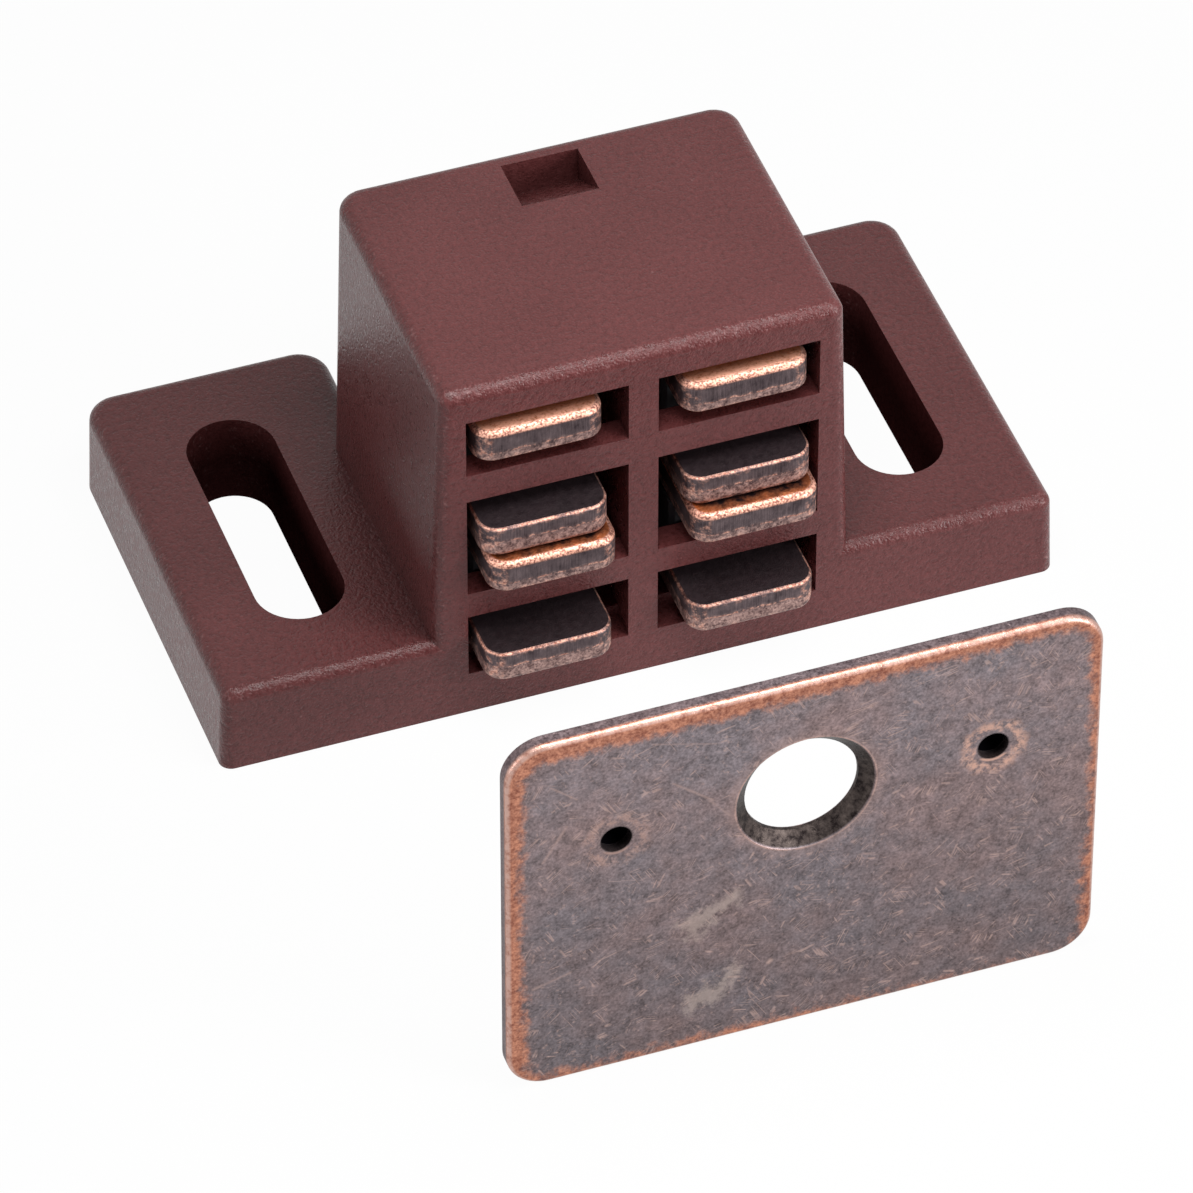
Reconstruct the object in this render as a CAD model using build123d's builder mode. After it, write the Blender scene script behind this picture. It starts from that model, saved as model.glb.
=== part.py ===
from build123d import *
import os
from math import radians, tan

# A double magnetic cabinet catch with its strike plate, in millimetres.
# The origin is the centre of the face that is screwed down, midway between the two slots.
# +Z is up out of that face, and the poles look along -Y.

# ---- pole plates and magnets -------------------------------------------------------------------
pole_width = 9.1
pole_length = 17.5
pole_thickness = 2.5
pole_corner_radius = 1.45  # front corners, seen from above
pole_roll = 0.5            # edge drawn round by the punch, on the side away from the magnet
pole_burr = 0.18           # edge broken where the punch came out, on the magnet's side
magnet_width = 8.9
magnet_length = 12.0
magnet_thickness = 5.2
magnet_setback = 4.9      # behind the tips of its own pole plates
magnet_edge = 0.35
stack_clearance = 0.1     # above, between and below the two magnet units of a column

# ---- housing: one plastic moulding -------------------------------------------------------------
front_wall = 2.0
side_wall = 2.42          # beside the bays, where the block rises from the wings
floor_thickness = 4.6     # under the magnet units
roof_thickness = 3.5      # over them
centre_bar = 2.1          # upright between the two columns of windows
window_width = 11.43
middle_window_height = 8.34
upper_bar = 2.31          # cross bars, in front of the magnets
lower_bar = 2.09
upper_window_height = 4.72
lower_window_height = 5.2
block_draft = 1.65        # degrees, so that the moulding leaves its tool
block_back_radius = 1.9
wing_length = 15.1        # each wing, from the block's foot to its tip
wing_height = 6.8
wing_lap = 2.4            # how far the wings reach in behind the block
wing_draft = 2.0          # degrees
wing_back_radius = 2.1    # outer back corners, seen from above
wing_inner_radius = 2.3   # inner back corners
base_depth = 31.8
top_edge_radius = 0.9

# ---- screw slots -------------------------------------------------------------------------------
slot_width = 6.25         # at the wings' top
slot_draft = 2.5          # degrees: each slot narrows downwards
slot_tip_distance = 8.35  # from a wing's tip to the middle of its slot
slot_end_wall = 5.45      # before and behind each slot

# ---- rear cover --------------------------------------------------------------------------------
cover_thickness = 2.0
cover_clearance = 0.1
cover_play = 0.3          # from the rearmost pole plate to the cover
rim_depth = 3.2           # the block's walls behind the cover
lug_drop = 0.6            # the lug under the roof that keeps the cover in

# ---- ramped pocket in the roof -----------------------------------------------------------------
pocket_width = 5.5
pocket_length = 4.4
pocket_depth = 2.7
pocket_back_wall = 1.4    # left standing behind the pocket

# ---- strike plate ------------------------------------------------------------------------------
strike_width = 40.7
strike_height = 30.2
strike_thickness = 1.2
strike_corner_radius = 2.85
strike_roll = 0.4
strike_distance = 34.85   # from the housing's front face to the strike's plain face
strike_offset = -1.4      # it stands a little to the left
strike_hole_radius = 3.9
strike_sink_radius = 4.8  # the hole's countersink, in the plain face
strike_sink_angle = 90.0
strike_hole_height = 20.5  # over the strike's lower edge
spur_spacing = 25.8
spur_pit_radius = 1.05
spur_pit_depth = 1.6
spur_height = 1.5         # the point that bites into the door
spur_base_radius = 1.7
spur_tip_radius = 0.25
dish_radius = 2.6         # metal drawn in around each spur
dish_depth = 0.12

# ---- how far each pole plate stands out of the front face, and how far its middle lies to the
# ---- side of its window's middle: the magnet units float in their bays and have settled unevenly
pole_reach = {
    "left_upper_top": 0.58, "left_upper_bottom": 1.60,
    "left_lower_top": 2.35, "left_lower_bottom": 2.80,
    "right_upper_top": 0.58, "right_upper_bottom": 1.35,
    "right_lower_top": 2.37, "right_lower_bottom": 2.82,
}
pole_shift = {
    "left_upper_top": -0.58, "left_upper_bottom": -0.55,
    "left_lower_top": -0.21, "left_lower_bottom": -0.65,
    "right_upper_top": 0.42, "right_upper_bottom": 0.41,
    "right_lower_top": 0.62, "right_lower_bottom": 0.22,
}

# ---- worked out from the sizes above -----------------------------------------------------------
column_side = {"left": -1, "right": 1}
column_middle = (centre_bar + window_width) / 2
mouth_width = centre_bar + 2 * window_width
block_width = mouth_width + 2 * side_wall
base_length = block_width + 2 * wing_length

unit_height = 2 * pole_thickness + magnet_thickness
bay_bottom = floor_thickness
stack_middle = bay_bottom + 1.5 * stack_clearance + unit_height
bay_top = stack_middle + unit_height + 1.5 * stack_clearance
mouth_height = bay_top - bay_bottom
block_height = bay_top + roof_thickness

front = -base_depth / 2
back = base_depth / 2
bay_front = front + front_wall
cover_front = front - min(pole_reach.values()) + pole_length + cover_play
cover_back = cover_front + cover_thickness
block_back = cover_back + rim_depth
block_depth = block_back - front
notch_width = block_width - 2 * wing_lap

pocket_back = block_back - pocket_back_wall
pocket_front = pocket_back - pocket_length

cut_past = 1.0            # how far a cutting shape runs on outside the solid

os.makedirs("parts", exist_ok=True)


def edges_at(edges, axis_name, value, tolerance=0.02):
    """The edges whose two ends and middle lie in the plane axis = value."""
    def lies_in(edge):
        spots = [edge @ 0, edge @ 0.5, edge @ 1]
        return all(abs(getattr(spot, axis_name) - value) < tolerance for spot in spots)
    return ShapeList([edge for edge in edges if lies_in(edge)])


def on_block(edge):
    """Whether an edge at the wings' top is where the block rises from them."""
    middle = edge @ 0.5
    return abs(middle.X) < block_width / 2 + 0.02 and middle.Y < block_back + 0.02


def write(piece, name):
    piece.part.label = name
    export_step(piece.part, f"parts/{name}.step")


# ---- housing -----------------------------------------------------------------------------------
wing_top_half = base_length / 2 - wing_height * tan(radians(wing_draft))
block_top_half = block_width / 2 - (block_height - wing_height) * tan(radians(block_draft))

with BuildPart() as wings:
    with BuildSketch(Plane.XZ.offset(-front)) as wing_section:
        with BuildLine():
            Polyline(
                (-base_length / 2, 0), (base_length / 2, 0),
                (wing_top_half, wing_height), (-wing_top_half, wing_height), close=True,
            )
        make_face()
    extrude(amount=-base_depth)
    with BuildSketch(Plane.XY) as notch:
        with Locations((0, (block_back + back) / 2)):
            Rectangle(notch_width, back - block_back)
    extrude(amount=wing_height, mode=Mode.SUBTRACT)
    uprights = wings.edges().filter_by(lambda e: abs((e % 0.5).Z) > 0.9)
    outer = uprights.filter_by(lambda e: abs((e @ 0.5).X) > notch_width)
    fillet(outer.filter_by(lambda e: (e @ 0.5).Y > 0), wing_back_radius)
    uprights = wings.edges().filter_by(lambda e: abs((e % 0.5).Z) > 0.9)
    inner = uprights.filter_by(lambda e: abs(abs((e @ 0.5).X) - notch_width / 2) < 0.1)
    fillet(inner.filter_by(lambda e: abs((e @ 0.5).Y - back) < 0.1), wing_inner_radius)
    # the wings' top edges, all but those that end on the front face or under the block
    top_outline = edges_at(wings.edges(), "Z", wing_height)
    fillet(top_outline.filter_by(lambda e: (e @ 0.5).Y > front + 0.1 and not on_block(e)), top_edge_radius)

with BuildPart() as block:
    with BuildSketch(Plane.XZ.offset(-front)) as block_section:
        with BuildLine():
            Polyline(
                (-block_width / 2, wing_height), (block_width / 2, wing_height),
                (block_top_half, block_height), (-block_top_half, block_height), close=True,
            )
        make_face()
    extrude(amount=-block_depth)
    uprights = block.edges().filter_by(lambda e: abs((e % 0.5).Z) > 0.9)
    fillet(uprights.filter_by(lambda e: (e @ 0.5).Y > 0), block_back_radius)

with BuildPart() as housing:
    add(wings.part)
    add(block.part)
    front_outline = edges_at(housing.edges(), "Y", front)
    front_outline = front_outline.filter_by(lambda e: (e @ 0.5).Z > 0.1)
    roof_outline = edges_at(housing.edges(), "Z", block_height)
    fillet(ShapeList(dict.fromkeys([*front_outline, *roof_outline])), top_edge_radius)

    # two slots for the screws, long enough to set the catch in or out
    with BuildSketch(Plane.XY.offset(wing_height)) as slots:
        with GridLocations(base_length - 2 * slot_tip_distance, 0, 2, 1):
            SlotOverall(base_depth - 2 * slot_end_wall, slot_width, rotation=90)
    extrude(amount=-wing_height, taper=slot_draft, mode=Mode.SUBTRACT)

    # a bay for each column of magnets, open at the back
    with BuildSketch(Plane.XZ.offset(-bay_front)) as bays:
        with Locations((0, bay_bottom + mouth_height / 2)):
            with GridLocations(2 * column_middle, 0, 2, 1):
                Rectangle(window_width, mouth_height)
    extrude(amount=-(cover_front - bay_front), mode=Mode.SUBTRACT)
    with BuildSketch(Plane.XZ.offset(-cover_front)) as mouth:
        with Locations((0, bay_bottom + mouth_height / 2)):
            Rectangle(mouth_width, mouth_height)
    extrude(amount=-(block_back - cover_front), mode=Mode.SUBTRACT)

    # three windows in front of each bay, with bars that hold the magnets back
    window_rows = {
        stack_middle: middle_window_height,
        stack_middle + (middle_window_height + upper_window_height) / 2 + upper_bar: upper_window_height,
        stack_middle - (middle_window_height + lower_window_height) / 2 - lower_bar: lower_window_height,
    }
    with BuildSketch(Plane.XZ.offset(-front)) as windows:
        for row_middle, row_height in window_rows.items():
            with Locations((0, row_middle)):
                with GridLocations(2 * column_middle, 0, 2, 1):
                    Rectangle(window_width, row_height)
    extrude(amount=-front_wall, mode=Mode.SUBTRACT)

    # the lug under the roof that the rear cover snaps in behind
    with BuildSketch(Plane.YZ.offset(-pocket_width / 2)) as lug_section:
        with BuildLine():
            Polyline(
                (cover_back + cover_clearance, bay_top),
                (pocket_back, bay_top - lug_drop),
                (pocket_back, bay_top + lug_drop),
                (cover_back + cover_clearance, bay_top + lug_drop), close=True,
            )
        make_face()
    extrude(amount=pocket_width)

    # the ramped pocket over that lug, deepest at its back wall
    with BuildSketch(Plane.YZ.offset(-pocket_width / 2)) as pocket_section:
        with BuildLine():
            Polyline(
                (pocket_front, block_height), (pocket_back, block_height - pocket_depth),
                (pocket_back, block_height + cut_past),
                (pocket_front, block_height + cut_past), close=True,
            )
        make_face()
    extrude(amount=pocket_width, mode=Mode.SUBTRACT)
write(housing, "housing")


# ---- rear cover --------------------------------------------------------------------------------
with BuildPart() as rear_cover:
    with BuildSketch(Plane.XZ.offset(-cover_front)):
        with Locations((0, bay_bottom + (mouth_height - cover_clearance) / 2)):
            Rectangle(mouth_width - 2 * cover_clearance, mouth_height - cover_clearance)
    extrude(amount=-cover_thickness)
write(rear_cover, "rear_cover")


# ---- pole plates and magnets -------------------------------------------------------------------
def make_pole(middle_x, tip_y, low_z, rolled_up):
    with BuildPart() as pole:
        with BuildSketch(Plane.XY.offset(low_z)):
            with Locations((middle_x, tip_y + pole_length / 2)):
                Rectangle(pole_width, pole_length)
        extrude(amount=pole_thickness)
        corners = pole.edges().filter_by(Axis.Z).group_by(Axis.Y)[0]
        fillet(corners, pole_corner_radius)
        faces_z = [low_z, low_z + pole_thickness]
        rolled_z, burred_z = reversed(faces_z) if rolled_up else faces_z
        fillet(edges_at(pole.edges(), "Z", rolled_z), pole_roll)
        chamfer(edges_at(pole.edges(), "Z", burred_z), pole_burr)
    return pole


def make_magnet(middle_x, front_y, low_z):
    with BuildPart() as magnet:
        with BuildSketch(Plane.XY.offset(low_z)):
            with Locations((middle_x, front_y + magnet_length / 2)):
                Rectangle(magnet_width, magnet_length)
        extrude(amount=magnet_thickness)
        chamfer(magnet.edges().filter_by(Axis.Z), magnet_edge)
    return magnet


unit_bottom = {
    "upper": stack_middle + stack_clearance / 2,
    "lower": stack_middle - stack_clearance / 2 - unit_height,
}
for side, sign in column_side.items():
    window_middle = sign * column_middle
    for level, low_z in unit_bottom.items():
        unit = f"{side}_{level}"
        above = f"{unit}_top"
        below = f"{unit}_bottom"
        write(
            make_pole(window_middle + pole_shift[below], front - pole_reach[below], low_z, False),
            f"{below}_pole",
        )
        write(
            make_pole(
                window_middle + pole_shift[above], front - pole_reach[above],
                low_z + pole_thickness + magnet_thickness, True,
            ),
            f"{above}_pole",
        )
        shift = (pole_shift[above] + pole_shift[below]) / 2
        reach = (pole_reach[above] + pole_reach[below]) / 2
        write(
            make_magnet(
                window_middle + shift, front - reach + magnet_setback, low_z + pole_thickness,
            ),
            f"{unit}_magnet",
        )


# ---- strike plate ------------------------------------------------------------------------------
strike_face = front - strike_distance
strike_back = strike_face + strike_thickness


def spur_places():
    return [(strike_offset + sign * spur_spacing / 2, strike_hole_height) for sign in (-1, 1)]


with BuildPart() as strike_plate:
    with BuildSketch(Plane.XZ.offset(-strike_face)):
        with Locations((strike_offset, strike_height / 2)):
            RectangleRounded(strike_width, strike_height, strike_corner_radius)
    extrude(amount=-strike_thickness)
    fillet(edges_at(strike_plate.edges(), "Y", strike_face), strike_roll)
    with Locations(Plane((strike_offset, strike_face, strike_hole_height), z_dir=(0, -1, 0))):
        CounterSinkHole(
            strike_hole_radius, strike_sink_radius, counter_sink_angle=strike_sink_angle,
        )
    for x, z in spur_places():
        # each spur is metal punched through from the plain face to a point at the back
        spur_axis = Plane((x, strike_face, z), x_dir=(1, 0, 0), z_dir=(0, 0, 1))
        with BuildSketch(spur_axis) as spur_section:
            with BuildLine():
                Polyline(
                    (0, strike_thickness / 2), (spur_base_radius, strike_thickness / 2),
                    (spur_base_radius, strike_thickness),
                    (spur_tip_radius, strike_thickness + spur_height),
                    (0, strike_thickness + spur_height), close=True,
                )
            make_face()
        revolve(axis=Axis((x, strike_face, z), (0, 1, 0)))
        with BuildSketch(spur_axis) as pit_section:
            with BuildLine():
                Polyline(
                    (0, -cut_past), (dish_radius, -cut_past), (dish_radius, 0),
                    (spur_pit_radius, dish_depth),
                    (spur_pit_radius, spur_pit_depth / 2), (0, spur_pit_depth), close=True,
                )
            make_face()
        revolve(axis=Axis((x, strike_face, z), (0, 1, 0)), mode=Mode.SUBTRACT)
write(strike_plate, "strike_plate")
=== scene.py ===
"""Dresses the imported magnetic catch: brown ABS housing, antique copper poles and strike plate, stage."""
import math

import bpy
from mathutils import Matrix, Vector


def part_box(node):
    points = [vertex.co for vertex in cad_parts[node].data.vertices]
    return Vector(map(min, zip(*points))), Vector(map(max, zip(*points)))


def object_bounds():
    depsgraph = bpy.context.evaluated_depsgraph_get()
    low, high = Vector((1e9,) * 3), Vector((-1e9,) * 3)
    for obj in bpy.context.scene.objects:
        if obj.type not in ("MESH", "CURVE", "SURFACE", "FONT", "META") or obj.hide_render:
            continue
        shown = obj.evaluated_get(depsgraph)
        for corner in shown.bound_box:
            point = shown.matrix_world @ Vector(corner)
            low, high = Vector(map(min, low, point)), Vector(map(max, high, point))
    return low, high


bl_info = {
    "name": "Magnetic Catch Finishes",
    "version": (1, 0, 0),
    "blender": (4, 5, 0),
    "location": "3D View > Sidebar > Catch",
    "description": "Finishes for a double magnetic cabinet catch and its strike plate, with a plain studio",
    "category": "Material",
}

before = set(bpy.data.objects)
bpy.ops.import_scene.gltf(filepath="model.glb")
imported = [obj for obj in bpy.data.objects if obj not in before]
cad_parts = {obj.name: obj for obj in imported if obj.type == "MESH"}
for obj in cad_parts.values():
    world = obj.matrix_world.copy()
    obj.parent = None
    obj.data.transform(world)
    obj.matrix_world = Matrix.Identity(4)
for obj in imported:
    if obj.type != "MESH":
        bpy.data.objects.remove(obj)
CAD_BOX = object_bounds()

POLES = sorted(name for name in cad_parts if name.endswith("_pole"))
MAGNETS = sorted(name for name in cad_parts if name.endswith("_magnet"))

# sizes that the finishes follow, in millimetres
POLE_CORNER = 1.45
POLE_BROKEN_EDGE = 0.18
TOP_PARTING = 1.75  # below a top pole's upper face, where its sheared side turns from cut to torn
BOTTOM_PARTING = 1.20
STRIKE_CORNER = 2.85
STRIKE_HOLE_HEIGHT = 20.5
STRIKE_SINK = 4.8  # the countersink's radius
STRIKE_THICKNESS = 1.2
SPUR_SPACING = 25.8
SPUR_PIT = 1.05  # radius
SPUR_RING = 1.95  # radius of the bare metal round it
SLOT_MIDDLE = 21.65  # from the catch's middle
SLOT_HALF_WIDTH = 3.6
SLOT_HALF_LENGTH = 10.9
SLOT_BLUR = 0.1
SLOT_SHADE = (3.5, 6.7)  # heights between which the slots' walls lighten

# the strike plate's fine scratches, a set for each direction: its turn in radians, how many times longer
# than their spacing they are, the spacing, their width as a share of it, and the share left unbroken
STRIKE_TUMBLING = (
    (0.25, 26.0, 0.42, 0.030, 0.2), (1.15, 30.0, 0.36, 0.030, 0.1), (2.1, 22.0, 0.45, 0.028, 0.2),
    (2.85, 32.0, 0.50, 0.024, 0.15), (0.7, 28.0, 0.40, 0.030, 0.1),
)
# its longer scratches: from x, z to x, z, width and strength
STRIKE_SCRATCHES = (
    (-10.5, 24.3, -7.8, 22.0, 0.12, 0.45), (-18.8, 26.6, -17.0, 25.0, 0.10, 0.45),
    (-11.9, 28.2, -7.6, 26.9, 0.09, 0.35), (-19.3, 20.1, -17.7, 22.8, 0.13, 0.50),
    (-20.0, 8.9, -17.5, 9.6, 0.16, 0.45), (-3.8, 6.0, -3.7, 6.1, 0.22, 0.90),
    (-8.0, 22.0, -6.6, 20.2, 0.10, 0.35), (3.5, 9.0, 5.6, 10.4, 0.08, 0.30),
)
# its scuffs: from x, z to x, z and half width
STRIKE_SCUFFS = (
    (-8.9, 11.0, -8.1, 11.6, 0.75), (-7.6, 11.9, -6.2, 12.7, 0.45),
    (-8.7, 4.2, -7.5, 4.5, 0.70), (-7.0, 5.2, -6.3, 6.2, 0.35),
)

# the stage, in metres: each lamp's place and side length, and the point that they all face
LAMPS = {
    "key": ((0.222, -0.226, 0.117), 0.135),
    "fill": ((-0.476, -0.004, 0.170), 0.20),
    "high": ((0.227, -0.231, 0.398), 0.20),
    "overhead": ((0.0, -0.042, 0.116), 0.06),
}
LAMP_TARGET = (0.0, -0.004, 0.015)
FLOOR_HALF = 3.0
FLOOR_GAP = 0.00002  # under the catch, so that the two faces don't coincide
CARD_WHITE = 0.92
CARD_EVENNESS = 0.965  # share of the card that looks pure white; the rest shows the object's shadow


# ---- colours and nodes -------------------------------------------------------------------------
# a Mix node that mixes colours takes them in at 6 and 7 and gives their mixture at 2
COLOUR_MIX = {"output": 2, "data_type": "RGBA"}


def linear(code):
    """An sRGB hex value as linear RGBA."""
    channels = [int(code[i:i + 2], 16) / 255 for i in (1, 3, 5)]
    return [c / 12.92 if c <= 0.04045 else ((c + 0.055) / 1.055) ** 2.4 for c in channels] + [1.0]


def add_node(tree, kind, inputs=(), output=0, **settings):
    """Adds a node with its settings, fills its inputs with values or links, and returns an output."""
    made = tree.nodes.new(kind)
    for name, value in settings.items():
        setattr(made, name, value)
    for key, value in inputs.items() if isinstance(inputs, dict) else enumerate(inputs):
        if isinstance(value, bpy.types.NodeSocket):
            tree.links.new(value, made.inputs[key])
        elif value is not None:
            made.inputs[key].default_value = value
    return made.outputs[output] if made.outputs else None


def start_material(name):
    """A material with an empty node tree."""
    material = bpy.data.materials.new(name)
    material.use_nodes = True
    material.node_tree.nodes.clear()
    return material, material.node_tree


def finish_material(tree, surface):
    """The shader with these inputs, joined to the material's output."""
    shader = add_node(tree, "ShaderNodeBsdfPrincipled", surface)
    add_node(tree, "ShaderNodeOutputMaterial", {"Surface": shader})


# ---- patterns, in millimetres ------------------------------------------------------------------
def in_millimetres(box):
    """A box's two corners, given in metres."""
    return [[1000 * v for v in corner] for corner in box]


def strongest(tree, masks):
    """The largest of several masks."""
    most = masks[0]
    for mask in masks[1:]:
        most = add_node(tree, "ShaderNodeMath", (most, mask), operation="MAXIMUM")
    return most


def soft_line(tree, value, middle, core, reach, strength, rest=0.0):
    """A line where a value comes close to its middle: strength within core of it, rest beyond reach."""
    off = add_node(tree, "ShaderNodeMath", (value, middle), operation="SUBTRACT")
    off = add_node(tree, "ShaderNodeMath", (off,), operation="ABSOLUTE")
    return add_node(tree, "ShaderNodeMapRange", (off, core, reach, strength, rest))


def surface_place(tree):
    """The point on the piece in millimetres, and its x, y and z."""
    metres = add_node(tree, "ShaderNodeTexCoord", output="Object")
    place = add_node(tree, "ShaderNodeVectorMath", {0: metres, "Scale": 1000.0}, operation="SCALE")
    x = add_node(tree, "ShaderNodeSeparateXYZ", (place,))
    return place, x, x.node.outputs[1], x.node.outputs[2]


def rounded_edges(tree):
    """1 on rounded and broken edges and 0 on flat faces, from how far the surface turns off the axes;
    and, from 0 to 1, how squarely the surface faces up or down."""
    normal = add_node(tree, "ShaderNodeTexCoord", output="Normal")
    size = add_node(tree, "ShaderNodeVectorMath", (normal,), operation="ABSOLUTE")
    across = add_node(tree, "ShaderNodeSeparateXYZ", (size,))
    along, up = across.node.outputs[1], across.node.outputs[2]
    most = strongest(tree, (across, along, up))
    mask = add_node(tree, "ShaderNodeMapRange", (most, 0.955, 0.992, 1.0, 0.0))
    return mask, up


def inset_from_outline(tree, across, up, half_width, half_height, corner):
    """How far a point lies inside a rounded rectangle's outline."""
    beyond = []
    for value, half in ((across, half_width), (up, half_height)):
        away = add_node(tree, "ShaderNodeMath", (value,), operation="ABSOLUTE")
        beyond.append(add_node(tree, "ShaderNodeMath", (away, half - corner), operation="SUBTRACT"))
    outer = [add_node(tree, "ShaderNodeMath", (b, 0.0), operation="MAXIMUM") for b in beyond]
    squares = [add_node(tree, "ShaderNodeMath", (o, 2.0), operation="POWER") for o in outer]
    total = add_node(tree, "ShaderNodeMath", squares, operation="ADD")
    round_part = add_node(tree, "ShaderNodeMath", (total,), operation="SQRT")
    larger = add_node(tree, "ShaderNodeMath", beyond, operation="MAXIMUM")
    straight_part = add_node(tree, "ShaderNodeMath", (larger, 0.0), operation="MINIMUM")
    both = add_node(tree, "ShaderNodeMath", (round_part, straight_part), operation="ADD")
    return add_node(tree, "ShaderNodeMath", (corner, both), operation="SUBTRACT")


def inside_slots(tree, x, y):
    """1 on and inside the walls of the two screw slots, seen from above, else 0."""
    outward = add_node(tree, "ShaderNodeMath", (x,), operation="ABSOLUTE")
    outward = add_node(tree, "ShaderNodeMath", (outward, SLOT_MIDDLE), operation="SUBTRACT")
    outward = add_node(tree, "ShaderNodeMath", (outward,), operation="ABSOLUTE")
    along = add_node(tree, "ShaderNodeMath", (y,), operation="ABSOLUTE")
    masks = [
        add_node(tree, "ShaderNodeMapRange", (away, half, half + SLOT_BLUR, 1.0, 0.0))
        for away, half in ((outward, SLOT_HALF_WIDTH), (along, SLOT_HALF_LENGTH))
    ]
    return add_node(tree, "ShaderNodeMath", masks, operation="MULTIPLY")


def ring_distance(tree, across, up, middle_across, middle_up):
    """How far a point lies from a middle, seen square on."""
    a = add_node(tree, "ShaderNodeMath", (across, middle_across), operation="SUBTRACT")
    b = add_node(tree, "ShaderNodeMath", (up, middle_up), operation="SUBTRACT")
    flat = add_node(tree, "ShaderNodeCombineXYZ", (a, b, 0.0))
    return add_node(tree, "ShaderNodeVectorMath", (flat,), output="Value", operation="LENGTH")


def line_distance(tree, place, start, end):
    """How far a point lies from the straight line between two x, z points, seen along Y."""
    start, end = [(x, 0.0, z) for x, z in (start, end)]
    run = [b - a for a, b in zip(start, end)]
    share_per_mm = [r / math.dist(start, end) ** 2 for r in run]
    flat = add_node(tree, "ShaderNodeVectorMath", (place, (1.0, 0.0, 1.0)), operation="MULTIPLY")
    away = add_node(tree, "ShaderNodeVectorMath", (flat, start), operation="SUBTRACT")
    share = add_node(
        tree, "ShaderNodeVectorMath", (away, share_per_mm), output="Value", operation="DOT_PRODUCT",
    )
    share = add_node(tree, "ShaderNodeClamp", (share, 0.0, 1.0))
    nearest = add_node(tree, "ShaderNodeVectorMath", {0: run, "Scale": share}, operation="SCALE")
    return add_node(tree, "ShaderNodeVectorMath", (away, nearest), output="Value", operation="DISTANCE")


def tumbling_scratches(tree, place, turn, stretch, spacing, width, cover):
    """Fine scratches: thin contour lines of a stretched noise, broken up by a second one.

    turn is their direction in the XZ plane; stretch how many times longer they are than their
    spacing in millimetres; width a share of the spacing; cover the share that is left unbroken."""
    # each direction looks at its own part of the noise, so that no two break at the same places
    aside = (turn * 31, 0, turn * 17)
    turned = add_node(
        tree, "ShaderNodeMapping", {"Vector": place, "Rotation": (0.0, turn, 0.0), "Location": aside},
    )
    drawn = add_node(tree, "ShaderNodeVectorMath", (turned, (1 / stretch, 1.0, 1.0)), operation="MULTIPLY")
    waves = add_node(tree, "ShaderNodeTexNoise", {"Vector": drawn, "Scale": 1 / spacing, "Detail": 1.0})
    off = add_node(tree, "ShaderNodeMath", (waves, 0.5), operation="SUBTRACT")
    off = add_node(tree, "ShaderNodeMath", (off,), operation="ABSOLUTE")
    line = add_node(tree, "ShaderNodeMapRange", (off, 0.0, width, 1.0, 0.0), interpolation_type="SMOOTHSTEP")
    breaks = add_node(tree, "ShaderNodeTexNoise", {"Vector": turned, "Scale": 1 / 1.7, "Detail": 2.0})
    kept = add_node(
        tree, "ShaderNodeMapRange", (breaks, 0.62 - cover * 0.2, 0.68 - cover * 0.2, 0.0, 1.0),
        interpolation_type="SMOOTHSTEP",
    )
    return add_node(tree, "ShaderNodeMath", (line, kept), operation="MULTIPLY")


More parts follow.
